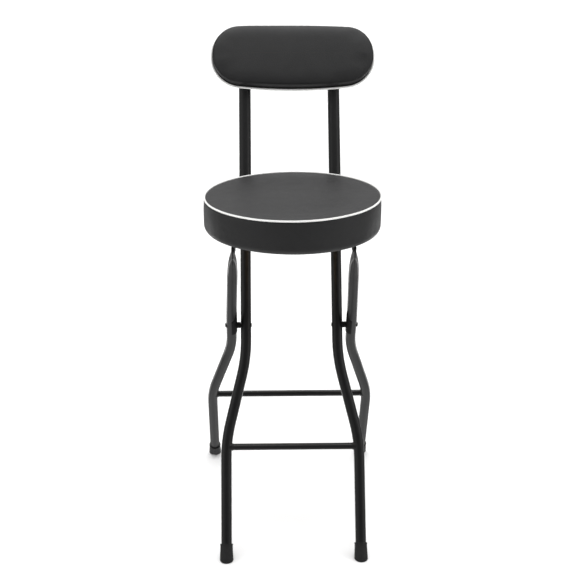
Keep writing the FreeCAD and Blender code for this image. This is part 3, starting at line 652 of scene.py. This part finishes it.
if CLOTH:
    press_out(seat_pad, 0.006, seat_held, seat_cap)
    press_out(back_pad, 0.005, back_held, lambda p: np.full(len(p), 0.0010), 6.0, 2.6, 40)


# ------------------------------------------------------------------ piping
def piping(name, path, normals_in, r, sides=20, joint=None):
    """Welt cord along a closed path. normals_in points from the cord into the pad at each point."""
    n = len(path)
    tang = np.roll(path, -1, 0) - np.roll(path, 1, 0)
    tang /= np.linalg.norm(tang, axis=1, keepdims=True)
    u = normals_in / np.linalg.norm(normals_in, axis=1, keepdims=True)
    w = np.cross(tang, u)
    wob = 1 + 0.012 * smooth_noise(n, range(20, 60), 31) + 0.008 * smooth_noise(n, range(90, 140), 32)
    if joint is not None:
        i = np.arange(n)
        d = np.minimum(np.abs(i - joint), n - np.abs(i - joint))
        wob = wob + 0.055 * np.exp(-(d / (n * 0.004)) ** 2) - 0.07 * np.exp(-((d) / (n * 0.0011)) ** 2)
    rings = []
    for k in range(sides):
        a = 2 * math.pi * k / sides
        rings.append(path + (u * math.cos(a) + w * math.sin(a)) * (r * wob)[:, None])
    verts = [tuple(x) for ring in rings for x in ring]
    faces = []
    for k in range(sides):
        for i in range(n):
            j = (i + 1) % n
            k2 = (k + 1) % sides
            faces.append((k * n + i, k * n + j, k2 * n + j, k2 * n + i))
    ob = new_object(name, verts, faces)
    ob.data.materials.append(piping_mat)
    return ob


NP = 720
tp = np.arange(NP) / NP * 2 * math.pi
seat_path = np.stack([SEAT_PIPE_R * np.cos(tp), SEAT_PIPE_R * np.sin(tp) + SEAT_Y,
                      SEAT_PIPE_Z - 0.25 + SEAT_TILT * np.cos(tp) + 0.12 * smooth_noise(NP, range(4, 16), 33)], -1) / 1000.0
seat_in = np.stack([-np.cos(tp), -np.sin(tp), np.full(NP, -0.6)], -1)
seat_welt = piping("seat_piping_welt", seat_path, seat_in, (PIPE_R - 0.3) / 1000.0, joint=int(NP * 0.27))

top_p2, top_n2 = half_outline(*BACK_TOP, 1, 330)
low_p2, low_n2 = half_outline(*BACK_LOW, -1, 330)
bp = np.vstack([top_p2[:-1], low_p2[::-1][:-1]])
bn = np.vstack([top_n2[:-1], low_n2[::-1][:-1]])
bp = fuller_corner(bp)
bq = bp + bn * 0.3
back_path = front_to_world(bq[:, 0] + BACK_SIDE, -np.full(len(bq), BACK_PIPE_E), BACK_MID + bq[:, 1])
inner = front_to_world(bq[:, 0] + BACK_SIDE - bn[:, 0], -np.full(len(bq), BACK_PIPE_E), BACK_MID + bq[:, 1] - bn[:, 1])
back_welt = piping("backrest_piping_welt", back_path, inner - back_path, PIPE_R / 1000.0, joint=int(len(bq) * 0.73))

# ------------------------------------------------------------------ material zones of the seat pad
for p in seat_pad.data.polygons:
    c = p.center
    r = math.hypot(c.x, c.y - SEAT_Y / 1000.0) * 1000.0
    z = c.z * 1000.0
    if z > BOARD_Z0 - 0.1 and z < BOARD_Z1 + 0.2 and r < BOARD_R + 0.2 and (r < 117.0 or abs(z - BOARD_Z1) < 0.2 or abs(z - BOARD_Z0) < 0.2 or r > BOARD_R - 0.1):
        p.material_index = 2
    elif r < BOARD_R - 2.0 and z < BOARD_Z0 - 0.2:
        p.material_index = 1

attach(seat_pad, "seat")
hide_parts("seat_cover", "seat_foam")
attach(seat_welt, "seat")
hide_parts("seat_piping")
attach(back_pad, "front_frame")
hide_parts("backrest_cover", "backrest_foam")
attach(back_welt, "front_frame")
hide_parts("backrest_piping")

# ------------------------------------------------------------------ floor and light
floor_me = bpy.data.meshes.new("floor")
floor_me.from_pydata([(-60, -60, 0), (60, -60, 0), (60, 60, 0), (-60, 60, 0)], [], [(0, 1, 2, 3)])
floor = bpy.data.objects.new("floor", floor_me)
bpy.context.scene.collection.objects.link(floor)
fm, fnt, fsh = material("studio_floor")
fsh.inputs["Base Color"].default_value = (0.93, 0.93, 0.93, 1)
fsh.inputs["Roughness"].default_value = 0.7
floor.data.materials.append(fm)
floor.visible_glossy = False

world = bpy.data.worlds.new("studio")
bpy.context.scene.world = world
world.use_nodes = True
wn = world.node_tree
wn.nodes.clear()
w_out = wn.nodes.new("ShaderNodeOutputWorld")
bg = wn.nodes.new("ShaderNodeBackground")
tcw = wn.nodes.new("ShaderNodeTexCoord")
sepw = wn.nodes.new("ShaderNodeSeparateXYZ")
wn.links.new(tcw.outputs["Generated"], sepw.inputs[0])
def studio_band(axis, lo, hi, amount):
    """Brightness that rises smoothly along one direction of the studio."""
    source = sepw.outputs[axis] if isinstance(axis, str) else axis
    n = wn.nodes.new("ShaderNodeMapRange")
    n.interpolation_type = "SMOOTHSTEP"
    n.inputs["From Min"].default_value = lo
    n.inputs["From Max"].default_value = hi
    n.inputs["To Min"].default_value = 0.0
    n.inputs["To Max"].default_value = amount
    wn.links.new(source, n.inputs["Value"])
    return n.outputs["Result"]


STUDIO_BASE = 0.10
backdrop = math_node(wn, "MULTIPLY", studio_band("Y", 0.15, 0.9, 0.39), studio_band("Z", -0.2, 0.22, 1.0))
abs_x = math_node(wn, "ABSOLUTE", sepw.outputs["X"], 0.0)
sides = math_node(wn, "MULTIPLY", studio_band(abs_x, 0.3, 0.85, 0.34), math_node(wn, "ADD", studio_band("Y", 0.5, 0.1, 0.8), 0.2))
front = math_node(wn, "MULTIPLY", studio_band("Y", -0.3, -0.9, 0.2), studio_band("Z", 0.45, 0.0, 1.0))
level = math_node(wn, "ADD", studio_band("Z", 0.48, 1.0, 0.7), studio_band("Z", -0.45, -0.95, 0.93))
horizon = math_node(wn, "MULTIPLY", studio_band("Z", -0.34, -0.2, 1.0), studio_band("Z", 0.05, -0.1, 1.0))
horizon = math_node(wn, "MULTIPLY", studio_band("Y", 0.55, 0.85, 0.7), horizon)
rim = math_node(wn, "MULTIPLY", studio_band(abs_x, 0.34, 0.48, 3.0), studio_band(abs_x, 0.76, 0.64, 1.0))
rim = math_node(wn, "MULTIPLY", rim, studio_band("Y", 0.25, 0.5, 1.0))
rim = math_node(wn, "MULTIPLY", rim, math_node(wn, "MULTIPLY", studio_band("Z", -0.32, -0.39, 1.0), studio_band("Z", -0.58, -0.5, 1.0)))
for extra in (backdrop, horizon, rim, sides, front, STUDIO_BASE):
    level = math_node(wn, "ADD", level, extra)
lp = wn.nodes.new("ShaderNodeLightPath")
mixw = wn.nodes.new("ShaderNodeMix")
mixw.data_type = "FLOAT"
wn.links.new(lp.outputs["Is Camera Ray"], mixw.inputs["Factor"])
wn.links.new(level, mixw.inputs["A"])
mixw.inputs["B"].default_value = 1.0
bg.inputs["Color"].default_value = (1, 1, 1, 1)
wn.links.new(mixw.outputs["Result"], bg.inputs["Strength"])
wn.links.new(bg.outputs["Background"], w_out.inputs["Surface"])


def area(name, loc, target, size, size_y, power, shine=True):
    d = bpy.data.lights.new(name, "AREA")
    d.shape = "RECTANGLE"
    d.size, d.size_y = size, size_y
    d.energy = power
    o = bpy.data.objects.new(name, d)
    bpy.context.scene.collection.objects.link(o)
    o.visible_glossy = shine
    o.location = loc
    o.rotation_euler = (Vector(target) - Vector(loc)).to_track_quat("-Z", "Y").to_euler()
    return o


sun_d = bpy.data.lights.new("overhead_light", "SUN")
sun_d.energy = 2.55
sun_d.angle = math.radians(75)
sun = bpy.data.objects.new("overhead_light", sun_d)
bpy.context.scene.collection.objects.link(sun)
sun.rotation_euler = (math.radians(-12), 0, 0)
area("left_softbox", (-2.8, -0.6, 1.4), (0, 0, 0.5), 0.9, 2.4, 5)
area("right_softbox", (2.8, -0.6, 1.4), (0, 0, 0.5), 0.9, 2.4, 7)
area("left_fill", (-2.8, -0.9, 1.0), (0, 0, 0.5), 1.4, 2.0, 8, False)
area("right_fill", (2.8, -0.9, 1.0), (0, 0, 0.5), 1.4, 2.0, 8, False)
area("front_fill", (0.0, -3.2, 0.7), (0, 0, 0.5), 2.4, 1.0, 9, False)

bpy.context.scene.view_settings.view_transform = "Standard"
bpy.context.scene.view_settings.look = "None"
